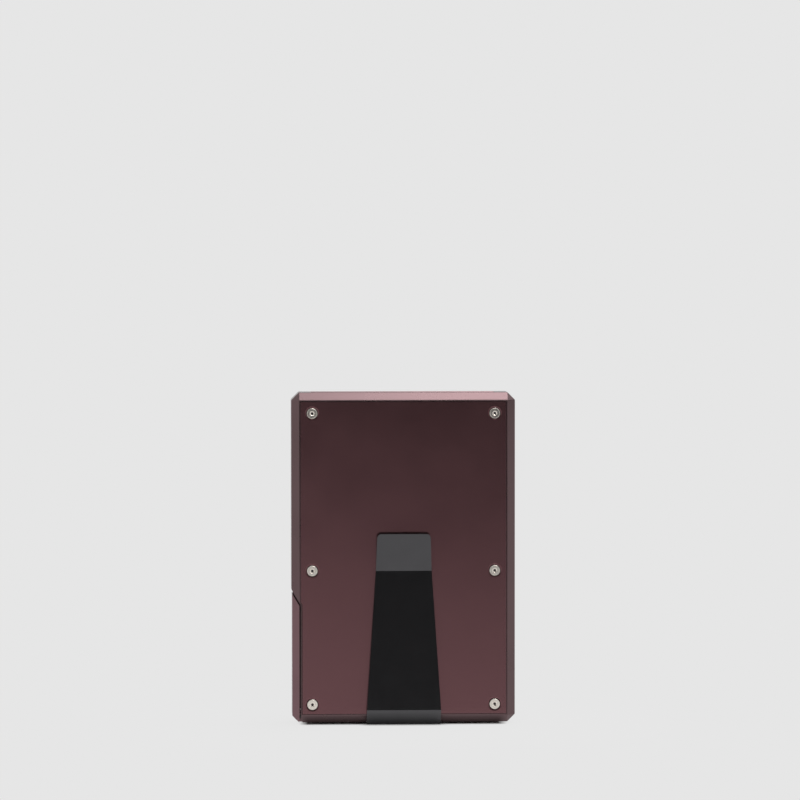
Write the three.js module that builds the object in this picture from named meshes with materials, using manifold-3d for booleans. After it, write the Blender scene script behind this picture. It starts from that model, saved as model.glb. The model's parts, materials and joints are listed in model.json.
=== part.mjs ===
// Magnetic card holder for the back of a phone: a chamfered metal case for cards, with a lever
// that fans the cards, a money clip on one face and a ring of magnets behind the other.
// X is the width, Y the depth with the clip's face at -Y, Z is up. Everything is in millimetres.
import * as THREE from 'three';
import { ConvexGeometry } from 'three/addons/geometries/ConvexGeometry.js';
import { mergeVertices } from 'three/addons/utils/BufferGeometryUtils.js';
import Module from 'manifold-3d';

const wasm = await Module();
wasm.setup();

// Cards that the case is made for, and the play round them
const cardWidth = 54;
const cardHeight = 85.6;
const cardPlay = 0.6;
const cardInset = 1.4;
const ledgeWidth = 2;
const ledgeHeight = 2;

// Case body
const sideWall = 6.2;
const floorThick = 1.5;
const mechanismHeight = 10.5;
const edgeChamfer = 2.3;
const edgeRadius = 0.3;
const rimWidth = 0.35;
const plateSeam = 0.1;
const mouthChamfer = 0.3;

// Layers from the clip's face to the phone's face
const rearPlateThick = 1;
const rearWeb = 1.9;
const roomDepth = 5.6;
const frontWeb = 0.8;
const trayThick = 2.4;
const frontPlateThick = 1.05;
const bondGap = 0.05;

// Face screws
const screwInsetSide = 6.2;
const screwInsetTop = 6.2;
const screwInsetBottom = 5.6;
const middleScrewHeight = 45.7;
const headRadius = 1.55;
const headHeight = 0.75;
const headSink = 0.45;
const socketAcross = 1.6;
const socketDepth = 0.45;
const socketPoint = 0.2;
const headGap = 0.02;
const shankRadius = 0.8;
const screwClearance = 0.15;
const boreClearance = 0.25;
// The dome of the head from its middle to its rim, as shares of the head's radius and height
const headDome = [[0, 1], [0.66, 1], [0.82, 0.9], [0.94, 0.7], [1, 0.42]];

// Money clip, one strip of spring steel
const clipThick = 0.8;
const clipFootWidth = 22.2;
const clipBendWidth = 16.7;
const clipTipWidth = 15.9;
const clipTipHeight = 57;
const clipBendHeight = 45.8;
const clipCreaseHeight = 4;
const clipFlare = 10.4;
const clipBendRadius = 0.3;
const clipTipRadius = 1.5;
const clipPressGap = 0.35;
const clipWrapGap = 0.25;
const clipFootReach = 3.9;
const footRecess = 0.3;
const footClearance = 0.15;
const footScrewSpacing = 12;
const footHeadRadius = 1.6;
const footSocketAcross = 1.3;

// Lever at the lower left edge
const leverSeam = 0.5;
const leverInset = 0.2;
const leverTipHeight = 40;
const leverTipAngle = 58.7;
const leverSwing = 20;
const pivotInset = 2.9;
const pivotHeight = 1.9;
const pinRadius = 0.5;
const hubRadius = 1.75;
const hubLength = 6.4;
const lugRadius = 1.05;
const lugThick = 0.7;
const washerThick = 0.2;
const runningGap = 0.3;
const fineGap = 0.075;
const tangThick = 1.6;
const tangLength = 18;
const tangHeight = 3.4;
const tangCorner = 1;
const tangRootShare = 0.9;

// Tongue on the case that closes the seam behind the lever, and runs in a groove in it
const tongueThick = 1.2;
const tongueOverlap = 0.7;
const tongueGap = 0.15;

// Stepped fingers that lift the cards one after another
const fingerCount = 5;
const longestFinger = 52.5;
const shortestFinger = 15;
const fingerRun = 0.4;
const noseLength = 2.6;
const noseRadius = 1.4;
const lifterRoot = 5.6;
const rampFoot = 7;
const lighteningRadius = 1.9;
const lighteningHeight = 3;
const rivetRadius = 0.7;
const rivetHeadRadius = 1.2;
const rivetHeadHeight = 0.3;
const rivetSink = 0.4;
const rivetPitch = 5.5;
const rivetInset = 3.5;

// Felt strips in the card room
const feltWidth = 6;
const feltThick = 0.4;
const feltLength = 44;
const feltBottom = 36;
const feltInset = 3.3;

// Magnets behind the phone's face
const trayWidth = 56.8;
const trayHeight = 84.2;
const trayCorner = 3;
const ringHeight = 61;
const ringOuter = 27;
const ringInner = 23;
const ringMagnetCount = 16;
const ringMagnetAngle = 20;
const ringMiddle = 90;
const magnetThick = 1.8;
const magnetGap = 0.25;
const yokeThick = 0.4;
const slotClearance = 0.2;
const alignWidth = 5.4;
const alignHeight = 18;
const alignDrop = 4;

// Pad on the phone's face
const padWidth = 54;
const padHeight = 86;
const padCorner = 6;
const padThick = 0.75;
const padSink = 0.45;
const padSeam = 0.15;
const grooveWidth = 0.8;
const grooveDepth = 0.25;

// Steps round a full circle for screws, holes and pins, round a rounded corner, and along a magnet
const roundSteps = 28;
const bendSteps = 6;
const sectorSteps = 3;
const grooveSteps = 72;

// How far joined solids run into each other, how near points count as one, and how near to
// straight a corner is left unrounded
const joinOverlap = 0.01;
const weldDistance = 1e-4;
const straightMargin = 1e-3;

// Sizes that follow from the values above
const roomWidth = cardWidth + cardPlay;
const caseWidth = roomWidth + 2 * sideWall;
const cardSeat = floorThick + mechanismHeight;
const caseHeight = cardSeat + cardHeight + cardInset;
const metalDepth = rearPlateThick + rearWeb + frontWeb + frontPlateThick;
const caseDepth = metalDepth + roomDepth + trayThick + 3 * bondGap;
const rearFace = -caseDepth / 2;
const frontFace = caseDepth / 2;
const rearWebRear = rearFace + rearPlateThick + bondGap;
const roomRear = rearWebRear + rearWeb;
const roomFront = roomRear + roomDepth;
const trayRear = roomFront + frontWeb + bondGap;
const frontPlateRear = frontFace - frontPlateThick;
const faceHalfWidth = caseWidth / 2 - edgeChamfer;
const leverWall = leverSeam - faceHalfWidth;
const slope = Math.tan(THREE.MathUtils.degToRad(leverTipAngle));
const seamRise = (gap) => gap * Math.hypot(1, slope);
const tipLine = (x) => leverTipHeight - (x + caseWidth / 2) * slope;
const pivot = new THREE.Vector2(pivotInset - caseWidth / 2, pivotHeight);
const lugInner = hubLength / 2 + washerThick + 2 * fineGap;
const armBottom = floorThick + fingerRun;
const lifterTop = cardSeat - fingerRun;
const lifterRear = roomRear + fingerRun;
const lifterFront = roomFront - fingerRun;
const tangFront = lifterRear + tangThick;
const footTop = footRecess - bondGap;
const footBottom = footTop - clipThick;

// Outlines and solids

// A closed outline whose corners [x, y, radius] are rounded by arcs; a radius of 0 stays sharp
function roundedOutline(corners, steps = bendSteps) {
  const points = [];
  corners.forEach(([x, y, radius], index) => {
    const corner = new THREE.Vector2(x, y);
    const [fromX, fromY] = corners[(index + corners.length - 1) % corners.length];
    const [toX, toY] = corners[(index + 1) % corners.length];
    const back = new THREE.Vector2(fromX, fromY).sub(corner).normalize();
    const ahead = new THREE.Vector2(toX, toY).sub(corner).normalize();
    const half = Math.acos(THREE.MathUtils.clamp(back.dot(ahead), -1, 1)) / 2;
    if (radius === 0 || half > Math.PI / 2 - straightMargin) {
      points.push(corner);
      return;
    }
    const centre = back.clone().add(ahead).normalize().multiplyScalar(radius / Math.sin(half)).add(corner);
    const start = back.clone().multiplyScalar(radius / Math.tan(half)).add(corner).sub(centre);
    const end = ahead.clone().multiplyScalar(radius / Math.tan(half)).add(corner).sub(centre);
    const sweep = Math.atan2(start.x * end.y - start.y * end.x, start.dot(end));
    for (let step = 0; step <= steps; step += 1) {
      points.push(start.clone().rotateAround(new THREE.Vector2(), (sweep * step) / steps).add(centre));
    }
  });
  return new THREE.Shape(points);
}

// An extrusion along X of an outline drawn in Y and Z, from x0 to x1
function alongX(shape, x0, x1) {
  const geometry = new THREE.ExtrudeGeometry(shape, { depth: x1 - x0, bevelEnabled: false });
  const axes = new THREE.Matrix4().makeBasis(
    new THREE.Vector3(0, 1, 0), new THREE.Vector3(0, 0, 1), new THREE.Vector3(1, 0, 0));
  return geometry.applyMatrix4(axes).translate(x0, 0, 0);
}

// An extrusion along Y of an outline drawn in X and Z, from y0 to y1
function alongY(shape, y0, y1) {
  const geometry = new THREE.ExtrudeGeometry(shape, { depth: y1 - y0, bevelEnabled: false });
  return geometry.rotateX(Math.PI / 2).translate(0, y1, 0);
}

// An extrusion along Z of an outline drawn in X and Y, from z0 to z1
function alongZ(shape, z0, z1) {
  const geometry = new THREE.ExtrudeGeometry(shape, { depth: z1 - z0, bevelEnabled: false });
  return geometry.translate(0, 0, z0);
}

function block(x0, x1, y0, y1, z0, z1) {
  const geometry = new THREE.BoxGeometry(x1 - x0, y1 - y0, z1 - z0);
  return geometry.translate((x0 + x1) / 2, (y0 + y1) / 2, (z0 + z1) / 2);
}

// A round bar along Y at x, z
function rodY(radius, x, z, y0, y1, steps = roundSteps) {
  const geometry = new THREE.CylinderGeometry(radius, radius, y1 - y0, steps);
  return geometry.translate(x, (y0 + y1) / 2, z);
}

// A body turned round the Y axis from its profile [radius, y]
function turned(profile) {
  return new THREE.LatheGeometry(profile.map(([r, y]) => new THREE.Vector2(r, y)), roundSteps);
}

function toSolid(geometry) {
  const bare = geometry.clone();
  bare.deleteAttribute('normal');
  bare.deleteAttribute('uv');
  const merged = mergeVertices(bare, weldDistance);
  const corners = merged.index.array;
  const kept = [];
  for (let first = 0; first < corners.length; first += 3) {
    const [a, b, c] = corners.slice(first, first + 3);
    if (a !== b && b !== c && c !== a) {
      kept.push(a, b, c);
    }
  }
  const vertProperties = new Float32Array(merged.attributes.position.array);
  return new wasm.Manifold(new wasm.Mesh({ numProp: 3, vertProperties, triVerts: new Uint32Array(kept) }));
}

function toGeometry(solid) {
  const { vertProperties, triVerts } = solid.getMesh();
  const geometry = new THREE.BufferGeometry();
  geometry.setAttribute('position', new THREE.BufferAttribute(new Float32Array(vertProperties), 3));
  geometry.setIndex(new THREE.BufferAttribute(new Uint32Array(triVerts), 1));
  geometry.computeVertexNormals();
  return geometry;
}

const cut = (solid, ...tools) => tools.reduce((rest, tool) => rest.subtract(toSolid(tool)), solid);
const join = (solid, ...added) => added.reduce((whole, piece) => whole.add(toSolid(piece)), solid);

// Materials

function finish(color, roughness, metalness) {
  return new THREE.MeshStandardMaterial({ color, roughness, metalness, flatShading: true });
}

const anodised = finish(0x54343a, 0.42, 0.85);
const anodisedLever = finish(0x5b3a40, 0.42, 0.85);
const screwSteel = finish(0xc9c2b8, 0.25, 1);
const blackSteel = finish(0x1c1b1d, 0.38, 0.6);
const bearingSteel = finish(0x8e9092, 0.3, 1);
const blackNylon = finish(0x242426, 0.6, 0);
const paleBearing = finish(0xd9d6cc, 0.5, 0);
const greyFelt = finish(0x2d2b2c, 0.95, 0);
const magnetNickel = finish(0xb7b9bb, 0.22, 1);
const padRubber = finish(0x1e1e20, 0.75, 0);

const cardHolder = new THREE.Group();

function addPiece(name, geometry, material) {
  const mesh = new THREE.Mesh(geometry, material);
  mesh.name = name;
  cardHolder.add(mesh);
}

// Case body

// Every direction whose x, y and z are each one of the given values
function directionsOf(values) {
  return values.flatMap((x) => values.flatMap((y) => values.map((z) => new THREE.Vector3(x, y, z))));
}

// The outside: a block chamfered along every edge and cut across at every corner, with its sharp
// edges broken. A block smaller by edgeRadius is drawn, and grows by it towards each facet.
function caseHull() {
  const facets = directionsOf([-1, 0, 1]).filter((facet) => facet.lengthSq() > 0);
  const growth = facets.map((facet) => facet.normalize().multiplyScalar(edgeRadius));
  const size = new THREE.Vector3(caseWidth, caseDepth, caseHeight);
  const half = size.divideScalar(2).subScalar(edgeRadius);
  const chamfer = edgeChamfer - edgeRadius * (2 - Math.SQRT2);
  const points = [];
  for (const axis of ['x', 'y', 'z']) {
    for (const corner of directionsOf([-1, 1])) {
      const point = half.clone().subScalar(chamfer);
      point[axis] = half[axis];
      point.multiply(corner);
      points.push(...growth.map((step) => step.clone().add(point)));
    }
  }
  return toSolid(new ConvexGeometry(points).translate(0, 0, caseHeight / 2));
}

// The face plates' outline, which steps in beside the lever; inset is the seam left round it
function plateOutline(inset) {
  const margin = rimWidth + inset;
  const right = faceHalfWidth - margin;
  const bottom = edgeChamfer + margin;
  const top = caseHeight - edgeChamfer - margin;
  const besideLever = leverWall + margin;
  return roundedOutline([
    [-right, top, 0],
    [-right, tipLine(-right) + seamRise(margin), 0],
    [besideLever, tipLine(besideLever) + seamRise(margin), 0],
    [besideLever, bottom, 0],
    [right, bottom, 0],
    [right, top, 0],
  ]);
}

// The slot in the left edge that the lever fills, open to the side and below
function leverSlot() {
  const outside = -caseWidth;
  const outline = roundedOutline([
    [outside, -edgeChamfer, 0],
    [leverWall, -edgeChamfer, 0],
    [leverWall, tipLine(leverWall), 0],
    [outside, tipLine(outside), 0],
  ]);
  return alongY(outline, rearFace - edgeChamfer, frontFace + edgeChamfer);
}

// Room for the lever's inner face below its pivot, where it swings into the corner of the body
function swingRelief() {
  const turn = THREE.MathUtils.degToRad(leverSwing);
  const fromPivot = pivot.x + faceHalfWidth - runningGap;
  const swept = (z) => pivot.x - fromPivot / Math.cos(turn) + (pivot.y - z) * Math.tan(turn);
  const outline = roundedOutline([
    [swept(pivot.y), -edgeChamfer, 0],
    [swept(-edgeChamfer), -edgeChamfer, 0],
    [swept(pivot.y), pivot.y, 0],
  ]);
  return alongY(outline, rearFace - edgeChamfer, frontFace + edgeChamfer);
}

// The tongue's outline, drawn as the room for it where gap is above 0: it follows the wall beside
// the lever down to the hub, and the slanted end of the lever's slot out to outer
function tongueOutline(gap, outer) {
  const reach = leverWall - leverSeam - tongueOverlap - gap;
  const rise = seamRise(leverSeam + tongueOverlap + gap);
  const root = leverWall + leverSeam;
  return roundedOutline([
    [outer, tipLine(outer) + joinOverlap, 0],
    [outer, tipLine(outer) - rise, 0],
    [reach, tipLine(reach) - rise, 0],
    [reach, pivot.y, 0],
    [root, pivot.y, 0],
    [root, tipLine(root) + joinOverlap, 0],
  ]);
}

function leverTongue() {
  const half = tongueThick / 2;
  const outer = 2 * leverInset - caseWidth / 2;
  const tongue = toSolid(alongY(tongueOutline(0, outer), -half, half));
  return cut(tongue, rodY(hubRadius + tongueGap, pivot.x, pivot.y, -tongueThick, tongueThick));
}

// A taper that opens the mouth of the card room towards the top
function mouthTaper() {
  const points = [];
  const levels = [[caseHeight - mouthChamfer, 0], [caseHeight + mouthChamfer, 2 * mouthChamfer]];
  for (const [z, spread] of levels) {
    for (const x of [-roomWidth / 2 - spread, roomWidth / 2 + spread]) {
      points.push(new THREE.Vector3(x, roomRear - spread, z), new THREE.Vector3(x, roomFront + spread, z));
    }
  }
  return new ConvexGeometry(points);
}

const screwX = caseWidth / 2 - screwInsetSide;
const screwPlaces = [
  ['top_left', -screwX, caseHeight - screwInsetTop],
  ['top_right', screwX, caseHeight - screwInsetTop],
  ['middle_left', -screwX, middleScrewHeight],
  ['middle_right', screwX, middleScrewHeight],
  ['bottom_left', -screwX, screwInsetBottom],
  ['bottom_right', screwX, screwInsetBottom],
];
const footScrewY = (rearFace + edgeChamfer + clipFootReach) / 2;

function trayOutline(inset) {
  const halfWidth = trayWidth / 2 - inset;
  const halfHeight = trayHeight / 2 - inset;
  const middle = caseHeight / 2;
  return roundedOutline([
    [-halfWidth, middle - halfHeight, trayCorner],
    [halfWidth, middle - halfHeight, trayCorner],
    [halfWidth, middle + halfHeight, trayCorner],
    [-halfWidth, middle + halfHeight, trayCorner],
  ]);
}

// The two lugs that hold the pivot pin, one on each side of the lever's hub
function pivotLugs() {
  return [-1, 1].flatMap((side) => {
    const [y0, y1] = [side * lugInner, side * (lugInner + lugThick)].sort((a, b) => a - b);
    const rootX = leverWall + leverSeam;
    return [
      rodY(lugRadius, pivot.x, pivot.y, y0, y1),
      block(pivot.x, rootX, y0, y1, pivot.y - lugRadius, pivot.y + lugRadius),
    ];
  });
}

function caseBody() {
  const roomHalf = roomWidth / 2;
  const ledgeHalf = roomHalf - ledgeWidth;
  const footHalf = clipFootWidth / 2 + footClearance;
  const windowLift = (-ledgeHalf - pivot.x) * Math.tan(THREE.MathUtils.degToRad(leverSwing));
  const windowTop = armBottom + tangHeight + windowLift + runningGap;
  const screwBore = shankRadius + screwClearance;
  const outside = edgeChamfer;
  let body = cut(
    caseHull(),
    alongY(plateOutline(0), rearFace - outside, rearWebRear),
    alongY(plateOutline(0), frontPlateRear - bondGap, frontFace + outside),
    alongY(trayOutline(-plateSeam), trayRear - bondGap, frontFace),
    block(-roomHalf, roomHalf, roomRear, roomFront, cardSeat, caseHeight + outside),
    block(-roomHalf, roomHalf, roomRear, roomFront, floorThick, cardSeat - ledgeHeight),
    block(-ledgeHalf, ledgeHalf, roomRear, roomFront, floorThick, cardSeat + ledgeHeight),
    mouthTaper(),
    leverSlot(),
    rodY(hubRadius + runningGap, pivot.x, pivot.y, -lugInner, lugInner),
    block(pivot.x, -ledgeHalf, roomRear, tangFront + runningGap, floorThick, windowTop),
    swingRelief(),
    block(-footHalf, footHalf, rearFace - outside, clipFootReach + footClearance, -outside, footRecess),
  );
  for (const [, x, z] of screwPlaces) {
    body = cut(body, rodY(screwBore, x, z, rearFace, roomRear + bondGap));
  }
  for (const side of [-1, 1]) {
    const bore = new THREE.CylinderGeometry(screwBore, screwBore, 4 * floorThick, roundSteps);
    body = cut(body, bore.rotateX(Math.PI / 2).translate(side * footScrewSpacing / 2, footScrewY, 0));
  }
  body = join(body, ...pivotLugs()).add(leverTongue());
  const pinReach = lugInner + lugThick + bondGap;
  return cut(body, rodY(pinRadius + fineGap, pivot.x, pivot.y, -pinReach, pinReach));
}

// Face plates and pad

function rearPlate() {
  let plate = toSolid(alongY(plateOutline(plateSeam), rearFace, rearFace + rearPlateThick));
  for (const [, x, z] of screwPlaces) {
    plate = cut(plate, rodY(shankRadius + screwClearance, x, z, rearFace, rearWebRear));
    plate = cut(plate, rodY(headRadius + boreClearance, x, z, rearFace - headHeight, rearFace + headSink));
  }
  return plate;
}

function padOutline(inset) {
  const halfWidth = padWidth / 2 - inset;
  const halfHeight = padHeight / 2 - inset;
  const middle = caseHeight / 2;
  return roundedOutline([
    [-halfWidth, middle - halfHeight, padCorner - inset],
    [halfWidth, middle - halfHeight, padCorner - inset],
    [halfWidth, middle + halfHeight, padCorner - inset],
    [-halfWidth, middle + halfHeight, padCorner - inset],
  ]);
}

function frontPlate() {
  const plate = toSolid(alongY(plateOutline(plateSeam), frontPlateRear, frontFace));
  return cut(plate, alongY(padOutline(0), frontFace - padSink, frontFace + padSink));
}

// The pad, with grooves that show where the ring and the bar of magnets lie
function gripPad() {
  const padRear = frontFace - padSink + bondGap;
  const padFront = padRear + padThick;
  const [y0, y1] = [padFront - grooveDepth, padFront + grooveDepth];
  const middle = (ringInner + ringOuter) / 2;
  const disc = (radius) => rodY(radius, 0, ringHeight, y0, y1, grooveSteps);
  const ring = cut(toSolid(disc(middle + grooveWidth / 2)), disc(middle - grooveWidth / 2));
  const bar = roundedOutline([
    [-grooveWidth / 2, alignTop - alignHeight, grooveWidth / 2],
    [grooveWidth / 2, alignTop - alignHeight, grooveWidth / 2],
    [grooveWidth / 2, alignTop, grooveWidth / 2],
    [-grooveWidth / 2, alignTop, grooveWidth / 2],
  ]);
  return cut(toSolid(alongY(padOutline(padSeam), padRear, padFront)).subtract(ring), alongY(bar, y0, y1));
}

// A hexagon socket that goes down from a head's face at height y, and ends in a drill's point
function hexSocket(across, y) {
  const radius = across / Math.sqrt(3);
  const hexagon = new THREE.CylinderGeometry(radius, radius, 2 * socketDepth, 6).translate(0, y, 0);
  const point = new THREE.ConeGeometry(across / 2, socketPoint, roundSteps);
  return [hexagon, point.translate(0, y + socketDepth + socketPoint / 2 - joinOverlap, 0)];
}

// Face screws: a domed head with a hexagon socket, on a shank that ends inside the rear web
function faceScrew() {
  const shankEnd = roomRear - rearFace - headSink - bondGap * 2;
  const profile = [
    ...headDome.map(([across, along]) => [headRadius * across, -headHeight * along]),
    [headRadius, -headGap],
    [shankRadius, -headGap],
    [shankRadius, shankEnd],
    [0, shankEnd],
  ];
  return cut(toSolid(turned(profile)), ...hexSocket(socketAcross, -headHeight));
}

// Money clip

// The strip's side view: corners on the face that looks at the case, then the outer face back again
function clipSection() {
  const wrap = rearFace + edgeChamfer - clipWrapGap * Math.SQRT2;
  const pressed = rearFace - clipPressGap;
  const flare = Math.tan(THREE.MathUtils.degToRad(clipFlare));
  const inner = [
    [clipFootReach, footTop],
    [wrap - footTop, footTop],
    [wrap - clipCreaseHeight, clipCreaseHeight],
    [pressed, clipBendHeight],
    [pressed - (clipTipHeight - clipBendHeight) * flare, clipTipHeight],
  ].map(([y, z]) => new THREE.Vector2(y, z));
  const normals = inner.slice(1).map((end, index) => {
    const along = end.clone().sub(inner[index]).normalize();
    return new THREE.Vector2(-along.y, along.x);
  });
  const outer = inner.map((corner, index) => {
    const before = normals[Math.max(index - 1, 0)];
    const after = normals[Math.min(index, normals.length - 1)];
    const mitre = before.clone().add(after).multiplyScalar(clipThick / (1 + before.dot(after)));
    return corner.clone().add(mitre);
  });
  const wide = clipBendRadius + clipThick;
  const innerRadii = [0, clipBendRadius, clipBendRadius, wide, 0];
  const outerRadii = [0, wide, wide, clipBendRadius, 0];
  const innerSide = inner.map(({ x, y }, index) => [x, y, innerRadii[index]]);
  const outerSide = outer.map(({ x, y }, index) => [x, y, outerRadii[index]]);
  return roundedOutline([...innerSide, ...outerSide.reverse()]);
}

function moneyClip() {
  const strip = toSolid(alongX(clipSection(), -clipFootWidth, clipFootWidth));
  const blank = roundedOutline([
    [-clipFootWidth / 2, -edgeChamfer, 0],
    [clipFootWidth / 2, -edgeChamfer, 0],
    [clipFootWidth / 2, clipCreaseHeight, 0],
    [clipBendWidth / 2, clipBendHeight, 0],
    [clipTipWidth / 2, clipTipHeight, clipTipRadius],
    [-clipTipWidth / 2, clipTipHeight, clipTipRadius],
    [-clipBendWidth / 2, clipBendHeight, 0],
    [-clipFootWidth / 2, clipCreaseHeight, 0],
  ]);
  let clip = strip.intersect(toSolid(alongY(blank, -caseDepth * 2, caseDepth)));
  for (const side of [-1, 1]) {
    const x = side * footScrewSpacing / 2;
    const holeRadius = shankRadius + screwClearance;
    const hole = new THREE.CylinderGeometry(holeRadius, holeRadius, 4 * clipThick, roundSteps);
    const wideEnd = footHeadRadius + screwClearance;
    const sink = new THREE.CylinderGeometry(holeRadius, wideEnd, wideEnd - holeRadius, roundSteps);
    const sinkHeight = footBottom + (wideEnd - holeRadius) / 2;
    clip = cut(
      clip,
      hole.rotateX(Math.PI / 2).translate(x, footScrewY, footBottom),
      sink.rotateX(Math.PI / 2).translate(x, footScrewY, sinkHeight - joinOverlap),
    );
  }
  return clip;
}

// Countersunk screw through the clip's foot, drawn with its head's flat face at height 0
function footScrew() {
  const length = floorThick - bondGap - footBottom;
  const profile = [
    [0, bondGap],
    [footHeadRadius - bondGap, bondGap],
    [shankRadius, footHeadRadius - shankRadius],
    [shankRadius, length],
    [0, length],
  ];
  return cut(toSolid(turned(profile)), ...hexSocket(footSocketAcross, bondGap));
}

// Lever, fingers and pivot

// The visible part of the lever: the case's left edge, cut across at the tip and at the lower corner
function leverStrip() {
  const outer = leverInset - caseWidth / 2;
  const inner = -faceHalfWidth;
  const shoulder = inner - outer;
  const shelf = caseDepth / 2 - edgeChamfer;
  const section = roundedOutline([
    [inner, -shelf - shoulder, 0],
    [inner, shelf + shoulder, 0],
    [outer, shelf, edgeRadius],
    [outer, -shelf, edgeRadius],
  ], 1);
  const beyond = outer - edgeChamfer;
  const side = roundedOutline([
    [inner, 0, 0],
    [inner + leverSeam, 0, 0],
    [inner + leverSeam, tipLine(inner + leverSeam) - seamRise(leverSeam), 0],
    [beyond, tipLine(beyond) - seamRise(leverSeam), 0],
    [beyond, inner - beyond, 0],
  ]);
  const bar = toSolid(alongZ(section, -edgeChamfer, leverTipHeight + edgeChamfer));
  const strip = bar.intersect(toSolid(alongY(side, -caseDepth, caseDepth)));
  const grooveHalf = tongueThick / 2 + tongueGap;
  return cut(strip, alongY(tongueOutline(tongueGap, beyond), -grooveHalf, grooveHalf));
}

const rivetPlaces = [0, 1].map((index) => {
  const x = pivot.x + tangLength - rivetInset - index * rivetPitch;
  return [x, armBottom + tangHeight / 2];
});

function leverArm() {
  const tangEnd = pivot.x + tangLength;
  const tang = roundedOutline([
    [pivot.x, armBottom, 0],
    [tangEnd, armBottom, tangCorner],
    [tangEnd, armBottom + tangHeight, tangCorner],
    [pivot.x + lifterRoot, armBottom + tangHeight, tangCorner],
    [pivot.x, pivot.y + hubRadius * tangRootShare, 0],
  ]);
  const pocketDepth = lugInner + lugThick + 2 * fineGap;
  let arm = join(
    leverStrip(),
    rodY(hubRadius, pivot.x, pivot.y, -hubLength / 2, hubLength / 2),
    alongY(tang, lifterRear, tangFront),
  );
  for (const [y0, y1] of [[-pocketDepth, -hubLength / 2], [hubLength / 2, pocketDepth]]) {
    arm = cut(arm, rodY(lugRadius + runningGap, pivot.x, pivot.y, y0, y1));
  }
  arm = cut(arm, rodY(pinRadius + fineGap, pivot.x, pivot.y, -hubLength, hubLength));
  for (const [x, z] of rivetPlaces) {
    arm = cut(
      arm,
      rodY(rivetRadius + fineGap, x, z, roomRear, roomFront),
      rodY(rivetHeadRadius + fineGap, x, z, roomRear, lifterRear + rivetSink),
    );
  }
  return arm;
}

// A stack of ramps, each shorter than the one behind it, so that each card is raised less than the last
function fanLifter() {
  const layer = (lifterFront - lifterRear) / fingerCount;
  const reachStep = (longestFinger - shortestFinger) / (fingerCount - 1);
  const longest = pivot.x + longestFinger;
  const tips = Array.from({ length: fingerCount }, (_, index) => longest - index * reachStep);
  const rampHeight = armBottom + tangHeight + fingerRun;
  const [first, ...others] = tips.map((tip, index) => {
    const ramp = roundedOutline([
      [pivot.x + lifterRoot, armBottom, 0],
      [tip, armBottom, noseRadius],
      [tip, lifterTop, noseRadius],
      [tip - noseLength, lifterTop, noseRadius / 2],
      [pivot.x + rampFoot, rampHeight, 0],
      [pivot.x + lifterRoot, rampHeight, 0],
    ]);
    const y0 = lifterRear + index * layer;
    return alongY(ramp, y0, index === fingerCount - 1 ? lifterFront : y0 + layer + joinOverlap);
  });
  const tangEnd = pivot.x + tangLength;
  let lifter = cut(
    join(toSolid(first), ...others),
    block(pivot.x, tangEnd + runningGap, roomRear, tangFront + bondGap, 0, cardSeat),
  );
  for (let index = 0; index < fingerCount - 1; index += 1) {
    const x = (tips[index] + tips[index + 1]) / 2;
    lifter = cut(lifter, rodY(lighteningRadius, x, armBottom + lighteningHeight, roomRear, roomFront));
  }
  for (const [x, z] of rivetPlaces) {
    lifter = cut(
      lifter,
      rodY(rivetRadius + fineGap, x, z, tangFront, roomFront),
      rodY(rivetHeadRadius + fineGap, x, z, lifterFront - rivetSink, roomFront),
    );
  }
  return lifter;
}

// A rivet whose two heads are sunk in the tang and in the lifter, drawn along Y from its rear end
function lifterRivet() {
  const rear = lifterRear + rivetSink - bondGap - rivetHeadHeight;
  const seat = lifterFront - rivetSink + bondGap;
  const profile = [
    [0, rear],
    [rivetHeadRadius, rear],
    [rivetHeadRadius, rear + rivetHeadHeight],
    [rivetRadius, rear + rivetHeadHeight],
    [rivetRadius, seat],
    [rivetHeadRadius, seat],
    [rivetHeadRadius, seat + rivetHeadHeight],
    [0, seat + rivetHeadHeight],
  ];
  return turned(profile);
}

function pivotWasher() {
  const bore = pinRadius + fineGap;
  const profile = [
    [bore, -washerThick / 2],
    [lugRadius, -washerThick / 2],
    [lugRadius, washerThick / 2],
    [bore, washerThick / 2],
    [bore, -washerThick / 2],
  ];
  return turned(profile);
}

// Magnets

// A sector of the ring between two angles, in the plane of the phone's face
function ringSector(inner, outer, from, to, steps, y0, y1) {
  const at = (radius, angle) => {
    const turn = THREE.MathUtils.degToRad(angle);
    return new THREE.Vector2(radius * Math.cos(turn), ringHeight + radius * Math.sin(turn));
  };
  const angles = Array.from({ length: steps + 1 }, (_, step) => from + ((to - from) * step) / steps);
  const outerEdge = angles.map((angle) => at(outer, angle));
  const innerEdge = angles.map((angle) => at(inner, angle)).reverse();
  return alongY(new THREE.Shape([...outerEdge, ...innerEdge]), y0, y1);
}

const ringSpan = ringMagnetCount * ringMagnetAngle;
const ringStart = ringMiddle - ringSpan / 2;
const gapAngle = THREE.MathUtils.radToDeg(magnetGap / ringInner);
const slotAngle = THREE.MathUtils.radToDeg(slotClearance / ringInner);
const magnetRear = trayRear + bondGap + yokeThick + bondGap;
const alignTop = ringHeight - ringOuter - alignDrop;

function magnetTray() {
  const halfAlign = alignWidth / 2 + slotClearance;
  const [y0, y1] = [trayRear - frontWeb, frontPlateRear + frontPlateThick];
  return cut(
    toSolid(alongY(trayOutline(0), trayRear, trayRear + trayThick)),
    ringSector(
      ringInner - slotClearance, ringOuter + slotClearance,
      ringStart - slotAngle, ringStart + ringSpan + slotAngle, sectorSteps * ringMagnetCount, y0, y1),
    block(-halfAlign, halfAlign, y0, y1, alignTop - alignHeight - slotClearance, alignTop + slotClearance),
  );
}

// Assembly

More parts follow.
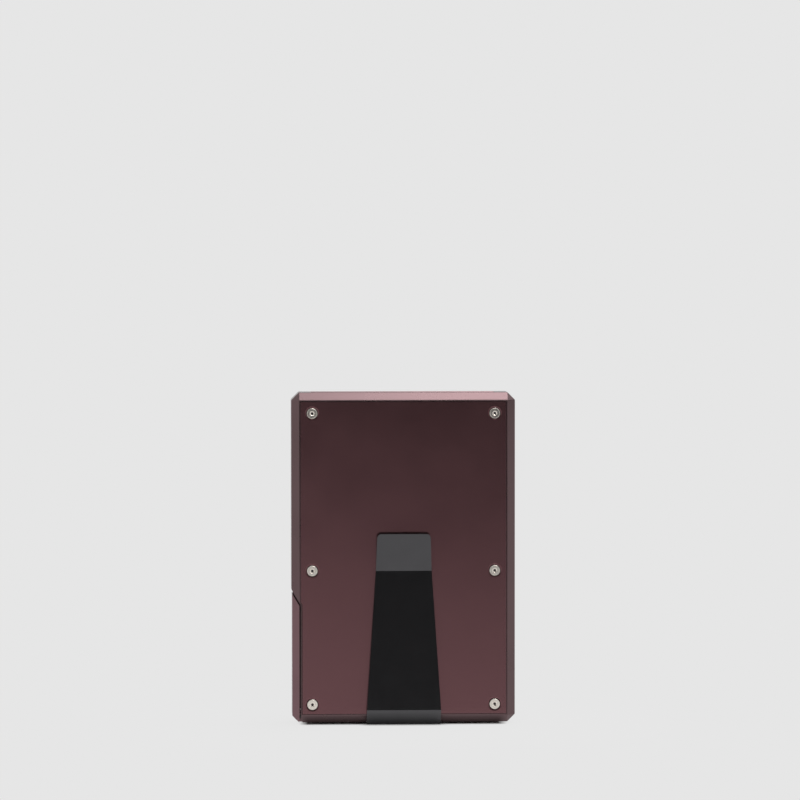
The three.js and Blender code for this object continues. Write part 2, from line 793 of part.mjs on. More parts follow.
addPiece('chamfer_frame', toGeometry(caseBody()), anodised);
addPiece('rear_face_plate', toGeometry(rearPlate()), anodised);
for (const [place, x, z] of screwPlaces) {
  const screw = toGeometry(faceScrew()).translate(x, rearFace + headSink, z);
  addPiece(`rear_screw_${place}`, screw, screwSteel);
}
addPiece('money_clip', toGeometry(moneyClip()), blackSteel);
for (const [side, x] of [['left', -footScrewSpacing / 2], ['right', footScrewSpacing / 2]]) {
  const screw = toGeometry(footScrew()).rotateX(Math.PI / 2).translate(x, footScrewY, footBottom);
  addPiece(`clip_screw_${side}`, screw, blackSteel);
}

addPiece('lever_arm', toGeometry(leverArm()), anodisedLever);
addPiece('fan_lifter', toGeometry(fanLifter()), blackNylon);
rivetPlaces.forEach(([x, z], index) => {
  addPiece(`lifter_rivet_${['outer', 'inner'][index]}`, lifterRivet().translate(x, 0, z), bearingSteel);
});
const pinHalf = lugInner + lugThick;
addPiece('pivot_pin', rodY(pinRadius, pivot.x, pivot.y, -pinHalf, pinHalf), bearingSteel);
for (const [side, sign] of [['rear', -1], ['front', 1]]) {
  const y = sign * (hubLength / 2 + fineGap + washerThick / 2);
  addPiece(`pivot_washer_${side}`, pivotWasher().translate(pivot.x, y, pivot.y), paleBearing);
}

for (const [side, sign] of [['left', -1], ['right', 1]]) {
  const x = sign * (roomWidth / 2 - feltInset - feltWidth / 2);
  const felt = new THREE.BoxGeometry(feltWidth, feltThick, feltLength);
  felt.translate(x, roomFront - bondGap - feltThick / 2, feltBottom + feltLength / 2);
  addPiece(`card_felt_${side}`, felt, greyFelt);
}

addPiece('magnet_tray', toGeometry(magnetTray()), blackNylon);
const yokeRear = trayRear + bondGap;
const yoke = ringSector(
  ringInner, ringOuter, ringStart, ringStart + ringSpan,
  sectorSteps * ringMagnetCount, yokeRear, yokeRear + yokeThick);
addPiece('magnet_yoke', yoke, bearingSteel);
for (let index = 0; index < ringMagnetCount; index += 1) {
  const from = ringStart + index * ringMagnetAngle + gapAngle / 2;
  const to = from + ringMagnetAngle - gapAngle;
  const magnet = ringSector(
    ringInner, ringOuter, from, to, sectorSteps, magnetRear, magnetRear + magnetThick);
  addPiece(`ring_magnet_${String(index + 1).padStart(2, '0')}`, magnet, magnetNickel);
}
const alignMagnet = block(
  -alignWidth / 2, alignWidth / 2, magnetRear, magnetRear + magnetThick, alignTop - alignHeight, alignTop);
addPiece('align_magnet', alignMagnet, magnetNickel);
addPiece('front_face_plate', toGeometry(frontPlate()), anodised);
addPiece('front_grip_pad', toGeometry(gripPad()), padRubber);

// The origin is on the ground, under the middle of everything
const extent = new THREE.Box3().setFromObject(cardHolder);
const centre = extent.getCenter(new THREE.Vector3());
cardHolder.position.set(-centre.x, -centre.y, -extent.min.z);

export default cardHolder;
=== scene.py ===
# Looks of a magnetic phone card holder: a chamfered burgundy metal case with a black money clip,
# six steel screws, a lever at the lower left edge and a soft pad on the side that meets the phone.
# X is the width, -Y the clip's side, Z is up. Lengths are in metres, like the frame's.
import json
import math

import bpy
from mathutils import Matrix, Vector, noise


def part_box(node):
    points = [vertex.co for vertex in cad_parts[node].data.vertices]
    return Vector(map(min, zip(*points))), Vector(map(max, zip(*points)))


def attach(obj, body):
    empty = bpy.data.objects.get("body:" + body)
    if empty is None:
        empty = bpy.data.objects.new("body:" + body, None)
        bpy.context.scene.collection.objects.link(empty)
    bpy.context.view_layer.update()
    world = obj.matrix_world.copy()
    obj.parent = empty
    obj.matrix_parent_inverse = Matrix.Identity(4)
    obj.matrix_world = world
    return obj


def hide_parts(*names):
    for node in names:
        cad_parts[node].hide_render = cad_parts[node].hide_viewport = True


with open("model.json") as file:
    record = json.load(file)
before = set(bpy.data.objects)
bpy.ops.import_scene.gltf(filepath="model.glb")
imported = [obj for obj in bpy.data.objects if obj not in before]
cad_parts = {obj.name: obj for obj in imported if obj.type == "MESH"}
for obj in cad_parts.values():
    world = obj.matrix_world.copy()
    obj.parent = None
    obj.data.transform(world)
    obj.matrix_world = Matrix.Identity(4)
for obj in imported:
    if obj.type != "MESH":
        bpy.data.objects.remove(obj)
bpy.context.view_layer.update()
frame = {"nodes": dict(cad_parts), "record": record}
nodes = frame["nodes"]
scene = bpy.context.scene
MM = 0.001


# Working on one object at a time

def pick_none():
    if bpy.context.mode != "OBJECT":
        bpy.ops.object.mode_set(mode="OBJECT")
    bpy.ops.object.select_all(action="DESELECT")


def pick(obj):
    pick_none()
    obj.select_set(True)
    bpy.context.view_layer.objects.active = obj


def finish_with(obj, kind, **settings):
    """Adds a modifier to the object and applies it."""
    pick(obj)
    modifier = obj.modifiers.new(kind.title(), kind)
    for name, value in settings.items():
        setattr(modifier, name, value)
    bpy.ops.object.modifier_apply(modifier=modifier.name)


def smooth(obj, degrees=30):
    pick(obj)
    bpy.ops.object.shade_smooth_by_angle(angle=math.radians(degrees))


def even_shading(piece):
    """Smooth shading in which the broad faces stay flat."""
    smooth(piece)
    finish_with(piece, "WEIGHTED_NORMAL", keep_sharp=True, weight=100)


def clear_slivers(piece):
    """Takes out faces without area, which a bevel can leave where it meets a short edge."""
    pick(piece)
    bpy.ops.object.mode_set(mode="EDIT")
    bpy.ops.mesh.select_all(action="SELECT")
    bpy.ops.mesh.dissolve_degenerate(threshold=0.001 * MM)
    bpy.ops.object.mode_set(mode="OBJECT")


def break_edges(piece, width, segments=2, angle=25):
    """Breaks the sharp edges by a small bevel."""
    finish_with(piece, "BEVEL", width=width * MM, segments=segments, limit_method="ANGLE",
                angle_limit=math.radians(angle), use_clamp_overlap=True)
    even_shading(piece)


def cut_away(body, cutter):
    finish_with(body, "BOOLEAN", operation="DIFFERENCE", object=cutter, solver="EXACT")
    bpy.data.objects.remove(cutter)


def in_order(body):
    """Lists the mesh's points and faces in a fixed order, since a cut can list them in another one each run.

    Points at the screw's foot come first: from there, joining the faces leaves no slivers round the socket.
    """
    points = [tuple(vertex.co) for vertex in body.data.vertices]
    ranked = sorted(points, key=lambda point: (-point[1], point[0], point[2]))
    rank = {point: number for number, point in enumerate(ranked)}
    rings = []
    for face in body.data.polygons:
        ring = [rank[points[index]] for index in face.vertices]
        start = ring.index(min(ring))
        rings.append(ring[start:] + ring[:start])
    body.data.clear_geometry()
    body.data.from_pydata(ranked, [], sorted(rings))


def settle(obj):
    """Writes the object's place into its mesh, so that it sits at the origin."""
    pick(obj)
    bpy.ops.object.transform_apply(location=True, rotation=True, scale=True)


def copy_of(node, name):
    """A copy of a node's mesh, whose loose triangles are joined into clean faces."""
    piece = bpy.data.objects.new(name, nodes[node].data.copy())
    scene.collection.objects.link(piece)
    pick(piece)
    bpy.ops.mesh.customdata_custom_splitnormals_clear()
    bpy.ops.object.mode_set(mode="EDIT")
    bpy.ops.mesh.select_all(action="SELECT")
    bpy.ops.mesh.remove_doubles(threshold=0.002 * MM)
    bpy.ops.mesh.dissolve_limited(angle_limit=math.radians(0.5))
    bpy.ops.object.mode_set(mode="OBJECT")
    return piece


def place(piece, body, slot, material, *stood_for):
    piece.data.materials.clear()
    piece.data.materials.append(material)
    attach(piece, body)
    if stood_for:
        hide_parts(*stood_for)


# Shader groups and materials

def feed(tree, socket, value):
    """Links an input to an output socket, or sets it to any other value."""
    if isinstance(value, bpy.types.NodeSocket):
        tree.links.new(value, socket)
    else:
        socket.default_value = value


def add(tree, kind, **inputs):
    """A new node with its inputs fed by name, in which an underscore stands for a space."""
    made = tree.nodes.new(kind)
    for name, value in inputs.items():
        feed(tree, made.inputs[name.replace("_", " ")], value)
    return made


def new_group(name, inputs, outputs):
    tree = bpy.data.node_groups.new(name, "ShaderNodeTree")
    for label, kind, value in inputs:
        socket = tree.interface.new_socket(label, in_out="INPUT", socket_type=kind)
        socket.default_value = value
    for label, kind in outputs:
        tree.interface.new_socket(label, in_out="OUTPUT", socket_type=kind)
    return tree, tree.nodes.new("NodeGroupInput").outputs, tree.nodes.new("NodeGroupOutput").inputs


def ramp(tree, value, low, high, to_low=0.0, to_high=1.0):
    return add(tree, "ShaderNodeMapRange", Value=value, From_Min=low, From_Max=high,
               To_Min=to_low, To_Max=to_high).outputs["Result"]


def maths(tree, operation, *values):
    made = tree.nodes.new("ShaderNodeMath")
    made.operation = operation
    for socket, value in zip(made.inputs, values):
        feed(tree, socket, value)
    return made.outputs[0]


def blend_colours(tree, factor, first, second):
    mix = tree.nodes.new("ShaderNodeMix")
    mix.data_type = "RGBA"
    # The colour sockets share their names with those of other kinds, so they are taken by number
    for socket, value in ((mix.inputs["Factor"], factor), (mix.inputs[6], first), (mix.inputs[7], second)):
        feed(tree, socket, value)
    return mix.outputs[2]


def grain_group():
    """Fine grain in a surface, with slow clouds of tone over it, both in the object's own space."""
    tree, given, out = new_group(
        "surface_grain",
        [("Grain Size", "NodeSocketFloat", 0.2 * MM), ("Cloud Size", "NodeSocketFloat", 12 * MM)],
        [("Grain", "NodeSocketFloat"), ("Cloud", "NodeSocketFloat")],
    )
    place_on = tree.nodes.new("ShaderNodeTexCoord").outputs["Object"]
    for size, label, detail in (("Grain Size", "Grain", 2.0), ("Cloud Size", "Cloud", 3.0)):
        scale = maths(tree, "DIVIDE", 1.0, given[size])
        speckle = add(tree, "ShaderNodeTexNoise", Vector=place_on, Scale=scale, Detail=detail)
        tree.links.new(speckle.outputs["Fac"], out[label])
    return tree


grain = grain_group()


def new_material(name, metallic, **sockets):
    material = bpy.data.materials.new(name)
    material.use_nodes = True
    tree = material.node_tree
    shader = tree.nodes["Principled BSDF"]
    shader.inputs["Metallic"].default_value = metallic
    for label, value in sockets.items():
        shader.inputs[label.replace("_", " ")].default_value = value
    return material, tree, shader


# The values of the clouds between which the tone and the roughness change
TONE_CLOUDS = (0.35, 0.65)
ROUGH_CLOUDS = (0.3, 0.7)


def surface(name, dark, light, rough, metallic=0.0, grain_size=0.2, cloud_size=12.0, bump=0.1, depth=0.02,
            **sockets):
    """A grained finish between two tones, whose roughness runs over the pair given; sizes in millimetres."""
    material, tree, shader = new_material(name, metallic, **sockets)
    texture = tree.nodes.new("ShaderNodeGroup")
    texture.node_tree = grain
    texture.inputs["Grain Size"].default_value = grain_size * MM
    texture.inputs["Cloud Size"].default_value = cloud_size * MM
    tone = ramp(tree, texture.outputs["Cloud"], *TONE_CLOUDS)
    tree.links.new(blend_colours(tree, tone, (*dark, 1), (*light, 1)), shader.inputs["Base Color"])
    tree.links.new(ramp(tree, texture.outputs["Cloud"], *ROUGH_CLOUDS, *rough), shader.inputs["Roughness"])
    relief = add(tree, "ShaderNodeBump", Strength=bump, Distance=depth * MM, Height=texture.outputs["Grain"])
    tree.links.new(relief.outputs["Normal"], shader.inputs["Normal"])
    return material


anodised = surface("burgundy_anodised", (0.172, 0.0825, 0.0900), (0.182, 0.0875, 0.0950), (0.17, 0.195),
                   metallic=0.9, grain_size=0.12, cloud_size=14, bump=0.06, depth=0.004)
# Painted highlight: the frame is the same burgundy anodising as the plates, and its greyer, less red tone
# stands in for the pale highlight on its chamfers
frame_burgundy_painted_highlight = surface("burgundy_frame_painted_highlight", (0.132, 0.087, 0.091), (0.142, 0.094, 0.098), (0.26, 0.31),
                         metallic=1.0, grain_size=0.12, cloud_size=14, bump=0.08, depth=0.006)
anodised_lever = surface("burgundy_lever", (0.190, 0.112, 0.122), (0.204, 0.121, 0.132), (0.26, 0.31),
                         metallic=1.0, grain_size=0.12, cloud_size=9, bump=0.08, depth=0.006)
screw_steel = surface("bright_screw_steel", (0.89, 0.83, 0.75), (0.96, 0.90, 0.82), (0.15, 0.21),
                      metallic=1.0, grain_size=0.08, cloud_size=0.6, bump=0.05, depth=0.004)
clip_black = surface("satin_black_steel", (0.074, 0.0725, 0.0765), (0.080, 0.0785, 0.0825), (0.08, 0.095),
                     metallic=0.85, grain_size=0.07, cloud_size=7, bump=0.08, depth=0.004)
# Painted shade: the parts of this slot, the pivot pin among them, get a near-black tone so that the pin's end
# seen through the lever's seam stays dark
pin_steel = surface("pin_steel_dark_as_painted_shade", (0.06, 0.058, 0.058), (0.09, 0.087, 0.086), (0.24, 0.36),
                    metallic=1.0, grain_size=0.05, cloud_size=2, bump=0.08, depth=0.004)
nylon = surface("moulded_black_nylon", (0.017, 0.017, 0.018), (0.022, 0.022, 0.024), (0.5, 0.62),
                grain_size=0.18, cloud_size=8, bump=0.25, depth=0.02)
bearing = surface("waxy_bearing_plastic", (0.045, 0.044, 0.042), (0.06, 0.058, 0.055), (0.42, 0.52),
                  grain_size=0.1, cloud_size=2, bump=0.1, depth=0.01)
felt = surface("grey_felt", (0.014, 0.013, 0.014), (0.034, 0.031, 0.033), (0.9, 1.0),
               grain_size=0.16, cloud_size=0.9, bump=0.9, depth=0.12, Sheen_Weight=0.5, Sheen_Roughness=0.5)
nickel = surface("magnet_nickel", (0.58, 0.58, 0.59), (0.66, 0.66, 0.67), (0.12, 0.2),
                 metallic=1.0, grain_size=0.1, cloud_size=3, bump=0.06, depth=0.006)
rubber = surface("silicone_pad", (0.012, 0.012, 0.013), (0.016, 0.016, 0.017), (0.56, 0.66),
                 grain_size=0.16, cloud_size=10, bump=0.35, depth=0.02)


def paint_shade_in_depth(material, face, start, end, dark):
    """Paints shade into a metal: fades it to a dark tone between two depths behind a face, as at the bottom
    of a socket.
    """
    tree = material.node_tree
    shader = tree.nodes["Principled BSDF"]
    spot = add(tree, "ShaderNodeSeparateXYZ", Vector=tree.nodes.new("ShaderNodeTexCoord").outputs["Object"])
    deep = ramp(tree, spot.outputs["Y"], face + start * MM, face + end * MM)
    shade = blend_colours(tree, deep, shader.inputs["Base Color"].links[0].from_socket, (*dark, 1))
    tree.links.new(shade, shader.inputs["Base Color"])


# The depths below a face screw's head between which painted shade darkens its socket, and the tone of that
# painted shade
SOCKET_SHADE = (0.29, 0.35)
SOCKET_PAINTED_SHADE = (0.05, 0.04, 0.04)
# Painted shade in the deep middle of each face screw's socket
paint_shade_in_depth(screw_steel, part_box("rear_screw_top_left")[0].y, *SOCKET_SHADE, SOCKET_PAINTED_SHADE)

cad_finishes = {
    "anodised_case": frame_burgundy_painted_highlight,
    "anodised_lever": anodised_lever,
    "screw_steel": screw_steel,
    "black_spring_steel": clip_black,
    "pin_steel": pin_steel,
    "black_nylon": nylon,
    "bearing_plastic": bearing,
    "card_felt": felt,
    "magnet_nickel": nickel,
    "pad_rubber": rubber,
}
for part in frame["record"]["subparts"]:
    solid = nodes[part["node"]]
    solid.data.materials.clear()
    solid.data.materials.append(cad_finishes[part["material_slot"]])


# Pieces that stand for CAD solids, with broken edges and finer shapes

def edged_copy(node, name, width, body, slot, material, segments=2, angle=25):
    """The node's own shape with all its sharp edges broken by a small bevel."""
    piece = copy_of(node, name)
    break_edges(piece, width, segments, angle)
    place(piece, body, slot, material, node)


def trim(piece, point, outward):
    """Cuts off what lies beyond a plane, given by a point in millimetres and the way it faces."""
    pick(piece)
    bpy.ops.object.mode_set(mode="EDIT")
    bpy.ops.mesh.select_all(action="SELECT")
    bpy.ops.mesh.bisect(plane_co=Vector(point) * MM, plane_no=outward, clear_outer=True, use_fill=True)
    bpy.ops.object.mode_set(mode="OBJECT")


def rim_broken(piece, width, body, slot, material, node, shortest=1.2, fold=20, slack=0.02):
    """Breaks the long edges of the piece's outer form, and leaves its pockets sharp.

    An edge counts if it is long enough, folds by enough degrees and lies within slack of the outer form.
    """
    mesh = piece.data
    faces_at = {}
    for face in mesh.polygons:
        for key in face.edge_keys:
            faces_at.setdefault(key, []).append(face.normal.copy())
    corners = [vertex.co.copy() for vertex in mesh.vertices]
    outer = []
    for edge in mesh.edges:
        normals = faces_at[tuple(sorted(edge.vertices))]
        first, second = (corners[index] for index in edge.vertices)
        if len(normals) != 2 or (first - second).length < shortest * MM:
            continue
        if normals[0].angle(normals[1]) < math.radians(fold):
            continue
        outward = (normals[0] + normals[1]).normalized()
        reach = max(corner.dot(outward) for corner in corners)
        if min(first.dot(outward), second.dot(outward)) > reach - slack * MM:
            outer.append(edge.index)
    pick(piece)
    bpy.ops.object.mode_set(mode="EDIT")
    bpy.ops.mesh.select_mode(type="EDGE")
    bpy.ops.mesh.select_all(action="DESELECT")
    bpy.ops.object.mode_set(mode="OBJECT")
    for index in outer:
        mesh.edges[index].select = True
    bpy.ops.object.mode_set(mode="EDIT")
    bpy.ops.mesh.bevel(offset=width * MM, segments=3, affect="EDGES", clamp_overlap=False)
    bpy.ops.object.mode_set(mode="OBJECT")
    even_shading(piece)
    place(piece, body, slot, material, node)


# Widths of the broken edges, from the crisp plates to the clip's tumbled strip
PLATE_EDGE = 0.03
BODY_EDGE = 0.11
CLIP_EDGE = 0.16
PAD_EDGE = 0.1
# Heights at which the lever's two faces meet the chamfer along the case's bottom
CLIP_SIDE_TRIM = 2.65
PHONE_SIDE_TRIM = 3.3

case_frame = copy_of("chamfer_frame", "case_frame")
rim_broken(case_frame, BODY_EDGE, "case", "anodised_case", frame_burgundy_painted_highlight, "chamfer_frame")
fan_lever = copy_of("lever_arm", "fan_lever")
lever_clip_side, lever_phone_side = (corner.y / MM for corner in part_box("lever_arm"))
trim(fan_lever, (0, lever_clip_side, CLIP_SIDE_TRIM), (0, -1, -1))
trim(fan_lever, (0, lever_phone_side, PHONE_SIDE_TRIM), (0, 1, -1))
rim_broken(fan_lever, BODY_EDGE, "lever", "anodised_lever", anodised_lever, "lever_arm")
edged_copy("front_face_plate", "phone_side_plate", PLATE_EDGE, "case", "anodised_case", anodised)
edged_copy("money_clip", "spring_clip", CLIP_EDGE, "case", "black_spring_steel", clip_black, segments=3)
edged_copy("front_grip_pad", "silicone_grip", PAD_EDGE, "case", "pad_rubber", rubber, segments=3)


# The clip side's plate, with a shallow dish round each screw's hole and a sloping seat in it. Each is a
# cone: its wide and its narrow radius, and the depths below the plate's face where it starts and ends.

SCREW_DISH = (2.3, 1.5, -0.06, 0.18)
SCREW_SEAT = (1.84, 1.2, 0.4, 0.9)
# How far each face screw's socket is turned, in degrees
screw_turns = {"top_left": 17, "top_right": 41, "middle_left": 3, "middle_right": 52,
               "bottom_left": 28, "bottom_right": 9}
clip_plate = copy_of("rear_face_plate", "clip_side_plate")
plate_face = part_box("rear_face_plate")[0].y
for corner in screw_turns:
    low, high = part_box(f"rear_screw_{corner}")
    middle = (low + high) / 2
    for wide, narrow, start, end in (SCREW_DISH, SCREW_SEAT):
        pick_none()
        bpy.ops.mesh.primitive_cone_add(vertices=72, radius1=wide * MM, radius2=narrow * MM,
                                        depth=(end - start) * MM, rotation=(-math.pi / 2, 0, 0),
                                        location=(middle.x, plate_face + (start + end) / 2 * MM, middle.z))
        cut_away(clip_plate, bpy.context.object)
break_edges(clip_plate, PLATE_EDGE)
clear_slivers(clip_plate)
even_shading(clip_plate)
place(clip_plate, "case", "anodised_case", anodised, "rear_face_plate")


# The screws: a head and shank turned round their axis, a hexagon socket cut in, edges broken

def turned_profile(name, profile, steps):
    """A body turned round the Y axis from its profile of radius and height, in millimetres."""
    mesh = bpy.data.meshes.new(name)
    points = [(radius * MM, height * MM, 0) for radius, height in profile]
    mesh.from_pydata(points, [(index, index + 1) for index in range(len(points) - 1)], [])
    body = bpy.data.objects.new(name, mesh)
    scene.collection.objects.link(body)
    pick(body)
    bpy.ops.object.mode_set(mode="EDIT")
    bpy.ops.mesh.select_all(action="SELECT")
    bpy.ops.mesh.spin(steps=steps, angle=2 * math.pi, center=(0, 0, 0), axis=(0, 1, 0))
    bpy.ops.mesh.select_all(action="SELECT")
    bpy.ops.mesh.remove_doubles(threshold=0.001 * MM)
    bpy.ops.mesh.normals_make_consistent(inside=False)
    bpy.ops.object.mode_set(mode="OBJECT")
    return body


# A socket's width across its flats, and the dish in its floor: its outer and inner radius as shares of that
# width, and how many degrees it slopes
SOCKET_ACROSS = 1.3
DISH_RIM, DISH_CENTRE = 0.49, 0.23
DISH_SLOPE = 21
# How far two cuts overlap, so that no skin is left between them
CUT_OVERLAP = 0.01


def cut_socket(head, depth, top, across=SOCKET_ACROSS):
    """A hexagon socket from the head's face at the given height, with a dished floor flat in its middle."""
    pick_none()
    bpy.ops.mesh.primitive_cylinder_add(vertices=6, radius=across / math.sqrt(3) * MM, depth=2 * depth * MM,
                                        rotation=(math.pi / 2, 0, 0), location=(0, top * MM, 0))
    cut_away(head, bpy.context.object)
    rim, centre = DISH_RIM * across, DISH_CENTRE * across
    dish = (rim - centre) * math.tan(math.radians(DISH_SLOPE))
    bottom = top + depth - CUT_OVERLAP
    pick_none()
    bpy.ops.mesh.primitive_cone_add(vertices=48, radius1=rim * MM, radius2=centre * MM, depth=dish * MM,
                                    rotation=(-math.pi / 2, 0, 0), location=(0, (bottom + dish / 2) * MM, 0))
    cut_away(head, bpy.context.object)


# The width of a screw's broken edges, and how closely a face has to look along the axis to be kept flat
SCREW_EDGE = 0.035
ALONG_AXIS = 0.999


def finish_screw(body):
    """Joins the faces that the cuts have split, breaks the edges and keeps the faces across the axis flat."""
    in_order(body)
    pick(body)
    bpy.ops.object.mode_set(mode="EDIT")
    bpy.ops.mesh.select_all(action="SELECT")
    bpy.ops.mesh.dissolve_limited(angle_limit=math.radians(0.5))
    bpy.ops.object.mode_set(mode="OBJECT")
    finish_with(body, "BEVEL", width=SCREW_EDGE * MM, segments=2, limit_method="ANGLE",
                angle_limit=math.radians(40), use_clamp_overlap=True)
    clear_slivers(body)
    smooth(body, 28)
    for face in body.data.polygons:
        if abs(face.normal.y) > ALONG_AXIS:
            face.use_smooth = False


def screw_at(master, name, placing, slot, material, node):
    """Its own copy of a screw, moved to its place in the mesh."""
    copy = bpy.data.objects.new(name, master.data.copy())
    scene.collection.objects.link(copy)
    copy.data.transform(placing)
    place(copy, "case", slot, material, node)


# A face screw's head: its radius, and how high its face stands above its seat
HEAD_RADIUS = 1.55
HEAD_TOP = 0.75
face_screw = turned_profile("face_screw", [
    (0, -HEAD_TOP), (1.43, -HEAD_TOP), (1.48, -0.738), (1.52, -0.71), (1.542, -0.67), (HEAD_RADIUS, -0.6),
    (HEAD_RADIUS, -0.02), (0.8, -0.02), (0.8, 2.3), (0, 2.3),
], 72)
cut_socket(face_screw, 0.25, -HEAD_TOP)
finish_screw(face_screw)
for corner, turn in screw_turns.items():
    low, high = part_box(f"rear_screw_{corner}")
    middle = (low + high) / 2
    seat = Vector((middle.x, low.y + HEAD_TOP * MM, middle.z))
    screw_at(face_screw, f"face_screw_{corner}",
             Matrix.Translation(seat) @ Matrix.Rotation(math.radians(turn), 4, "Y"),
             "screw_steel", screw_steel, f"rear_screw_{corner}")
bpy.data.objects.remove(face_screw)

# How deep a foot screw's head sits in the clip's foot
FOOT_HEAD_TOP = 0.05
foot_screw = turned_profile("foot_screw", [
    (0, FOOT_HEAD_TOP), (1.42, FOOT_HEAD_TOP), (1.48, 0.07), (1.49, 0.11), (0.8, 0.8), (0.8, 1.98), (0, 1.98),
], 64)
cut_socket(foot_screw, 0.4, FOOT_HEAD_TOP)
finish_screw(foot_screw)
for side, turn in (("left", 12), ("right", 47)):
    low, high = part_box(f"clip_screw_{side}")
    middle = (low + high) / 2
    screw_at(foot_screw, f"foot_screw_{side}",
             Matrix.Translation((middle.x, middle.y, 0)) @ Matrix.Rotation(math.pi / 2, 4, "X")
             @ Matrix.Rotation(math.radians(turn), 4, "Y"),
             "black_spring_steel", clip_black, f"clip_screw_{side}")
bpy.data.objects.remove(foot_screw)


# The felt strips: fibrous, with soft rounded edges, glued flat to the wall behind them. Their surface sinks
# a little everywhere, more near the edges, and by the fibres; near the edges it's tucked in as well.

COARSE_FIBRES, FINE_FIBRES = 0.45, 0.2
FELT_SINK, FELT_FIBRE_DEPTH = 0.04, 0.025
EDGE_SINK, EDGE_SINK_REACH = 0.15, 0.3
EDGE_TUCK, EDGE_TUCK_REACH = 0.07, 0.15
GLUED_LAYER = 0.05
LEAST_SINK = 0.005


def felt_strip(node, name):
    low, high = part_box(node)
    size, middle = high - low, (low + high) / 2
    pick_none()
    bpy.ops.mesh.primitive_grid_add(x_subdivisions=28, y_subdivisions=190, size=1,
                                    location=(middle.x, low.y, middle.z), rotation=(math.pi / 2, 0, 0))
    strip = bpy.context.object
    strip.name = name
    strip.scale = (size.x, size.z, 1)
    settle(strip)
    finish_with(strip, "SOLIDIFY", thickness=size.y, offset=-1.0)
    for vertex in strip.data.vertices:
        at = vertex.co
        if at.y > high.y - GLUED_LAYER * MM:
            continue
        rim = min(at.x - low.x, high.x - at.x, at.z - low.z, high.z - at.z)
        fine = noise.noise(at / (FINE_FIBRES * MM) + Vector((7, 3, 5)))
        fibres = noise.noise(at / (COARSE_FIBRES * MM)) + 0.6 * fine
        edge_sink = EDGE_SINK * MM * math.exp(-rim / (EDGE_SINK_REACH * MM))
        sink = FELT_SINK * MM + edge_sink + FELT_FIBRE_DEPTH * MM * fibres
        inward = Vector((middle.x - at.x, 0, middle.z - at.z))
        tuck = EDGE_TUCK * MM * math.exp(-rim / (EDGE_TUCK_REACH * MM)) * (1 + 0.5 * fibres)
        vertex.co = at + Vector((0, max(sink, LEAST_SINK * MM), 0)) + inward.normalized() * max(tuck, 0.0)
    smooth(strip, 60)
    place(strip, "case", "card_felt", felt, node)


felt_strip("card_felt_left", "felt_left")
felt_strip("card_felt_right", "felt_right")


# Floor, light and camera

BACKGROUND = (0.791, 0.791, 0.791)
FLOOR_GREY = (0.74, 0.74, 0.74)
CARD_BLACK = (0.012, 0.012, 0.012)
# Where the floor takes a shadow, in millimetres: the half width and half depth of a rectangle under the
# object, how far the shadow reaches round it, and last the shadow's share in the rectangle
UNDER_CASE = (28.5, 3.0, 2.8, 1.0)
UNDER_CLIP_FOOT = (10.8, 4.4, 3.6, 1.0)
ROUND_CASE = (27, 3, 60, 0.05)


def stage_material(name, colour):
    """A surface that shows one colour to the camera and in gloss, and takes a shadow round the object."""
    material = bpy.data.materials.new(name)
    material.use_nodes = True
    tree = material.node_tree
    tree.nodes.remove(tree.nodes["Principled BSDF"])

    spot = add(tree, "ShaderNodeSeparateXYZ", Vector=tree.nodes.new("ShaderNodeTexCoord").outputs["Object"])

    def near(half_width, half_depth, reach, most):
        """The most inside a rectangle about the origin, and nothing from the given reach round it."""
        beyond = []
        for axis, half in (("X", half_width), ("Y", half_depth)):
            outside = maths(tree, "SUBTRACT", maths(tree, "ABSOLUTE", spot.outputs[axis]), half * MM)
            beyond.append(maths(tree, "MAXIMUM", outside, 0.0))
        squares = [maths(tree, "MULTIPLY", side, side) for side in beyond]
        distance = maths(tree, "SQRT", maths(tree, "ADD", *squares))
        return ramp(tree, distance, 0.0, reach * MM, most, 0.0)

    contact = maths(tree, "MAXIMUM", near(*UNDER_CASE), near(*UNDER_CLIP_FOOT))
    shaded = maths(tree, "ADD", contact, near(*ROUND_CASE))
    path = tree.nodes.new("ShaderNodeLightPath")
    share = maths(tree, "MAXIMUM", shaded, path.outputs["Is Diffuse Ray"])
    matt = add(tree, "ShaderNodeBsdfDiffuse", Color=(*colour, 1))
    glow = add(tree, "ShaderNodeEmission", Color=(*BACKGROUND, 1), Strength=1.0)
    both = tree.nodes.new("ShaderNodeMixShader")
    tree.links.new(share, both.inputs[0])
    tree.links.new(glow.outputs[0], both.inputs[1])
    tree.links.new(matt.outputs[0], both.inputs[2])
    tree.links.new(both.outputs[0], tree.nodes["Material Output"].inputs["Surface"])
    return material


pick_none()
bpy.ops.mesh.primitive_plane_add(size=1, location=(0, 0, 0))
floor = bpy.context.object
floor.name = "studio_floor"
floor.scale = (4.0, 3.0, 1)
# The floor reaches from just in front of the object to far behind it
floor.location = (0, 1.438, 0)
settle(floor)
floor.data.materials.append(stage_material("studio_floor", FLOOR_GREY))

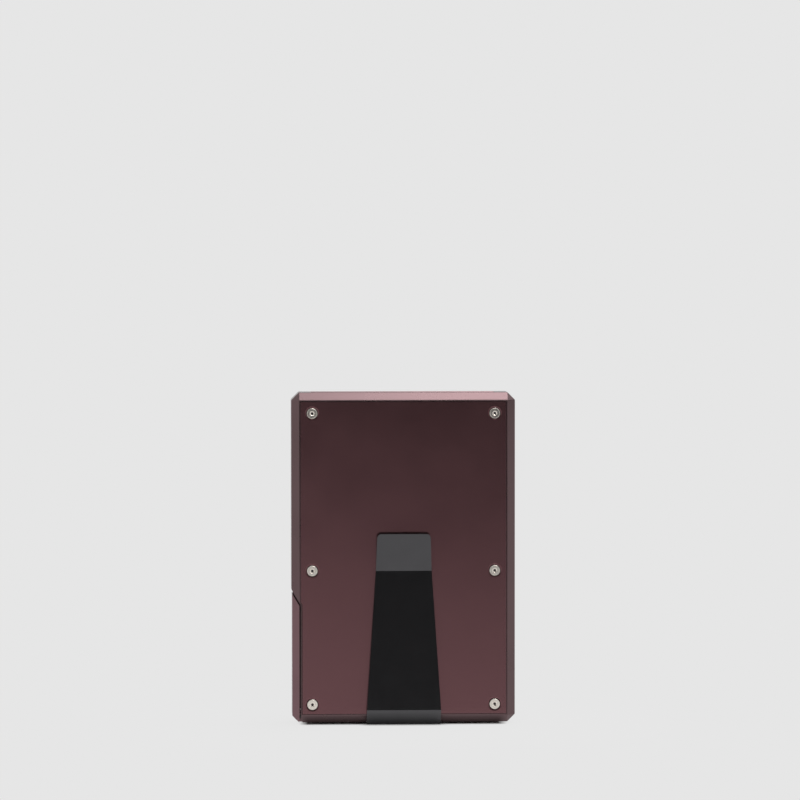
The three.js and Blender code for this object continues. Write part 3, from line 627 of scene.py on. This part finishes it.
world = bpy.data.worlds.new("studio")
scene.world = world
world.use_nodes = True
background = world.node_tree.nodes["Background"]
background.inputs["Color"].default_value = (*BACKGROUND, 1)
background.inputs["Strength"].default_value = 1.0


def card(name, location, size, turn):
    """A matt card that shades the studio from one side and isn't seen by the camera."""
    pick_none()
    bpy.ops.mesh.primitive_plane_add(size=1, location=location, rotation=turn)
    board = bpy.context.object
    board.name = name
    board.scale = (*size, 1)
    settle(board)
    board.visible_camera = False
    material, _, shader = new_material(name, 0.0, Roughness=1.0, Specular_IOR_Level=0.0)
    shader.inputs["Base Color"].default_value = (*CARD_BLACK, 1)
    board.data.materials.append(material)


card("dark_card", (0, -4.0, 1.495), (4.4, 3.4), (math.pi / 2, math.radians(12), 0))
card("side_card", (0.4, 0, 0.2), (0.2, 0.3), (0, math.pi / 2, 0))


def lamp(name, location, size, watts, turn=0):
    """A softbox that looks straight down, or is turned back by some degrees to look at the object."""
    light = bpy.data.lights.new(name, "AREA")
    light.shape = "RECTANGLE"
    light.size, light.size_y = size
    light.energy = watts
    lamp_object = bpy.data.objects.new(name, light)
    scene.collection.objects.link(lamp_object)
    lamp_object.location = location
    lamp_object.rotation_euler = (math.radians(turn), 0, 0)
    lamp_object.visible_camera = False


lamp("overhead_softbox", (0.485, 0.06, 1.0), (1.0, 0.45), 7)
lamp("front_strip", (0.25, -1.0, 1.0), (1.2, 0.12), 3, turn=45)

# The camera's focal length in pixels of the picture, and how it looks down, turns and rolls, in degrees
IMAGE_WIDTH = 800
FOCAL_PIXELS = 4307.1
LOOKS_DOWN, TURNS, ROLLS = 2.4275, -2.3421, -0.0325

camera_data = bpy.data.cameras.new("camera")
camera = bpy.data.objects.new("camera", camera_data)
scene.collection.objects.link(camera)
camera_data.sensor_width = 36
camera_data.lens = FOCAL_PIXELS / IMAGE_WIDTH * camera_data.sensor_width
camera.location = (-0.05355, -1.2887, 0.1518)
camera.rotation_euler = (math.radians(90 - LOOKS_DOWN), 0, math.radians(TURNS))
camera.rotation_euler.rotate_axis("Z", math.radians(ROLLS))
scene.camera = camera

scene.view_settings.view_transform = "Standard"
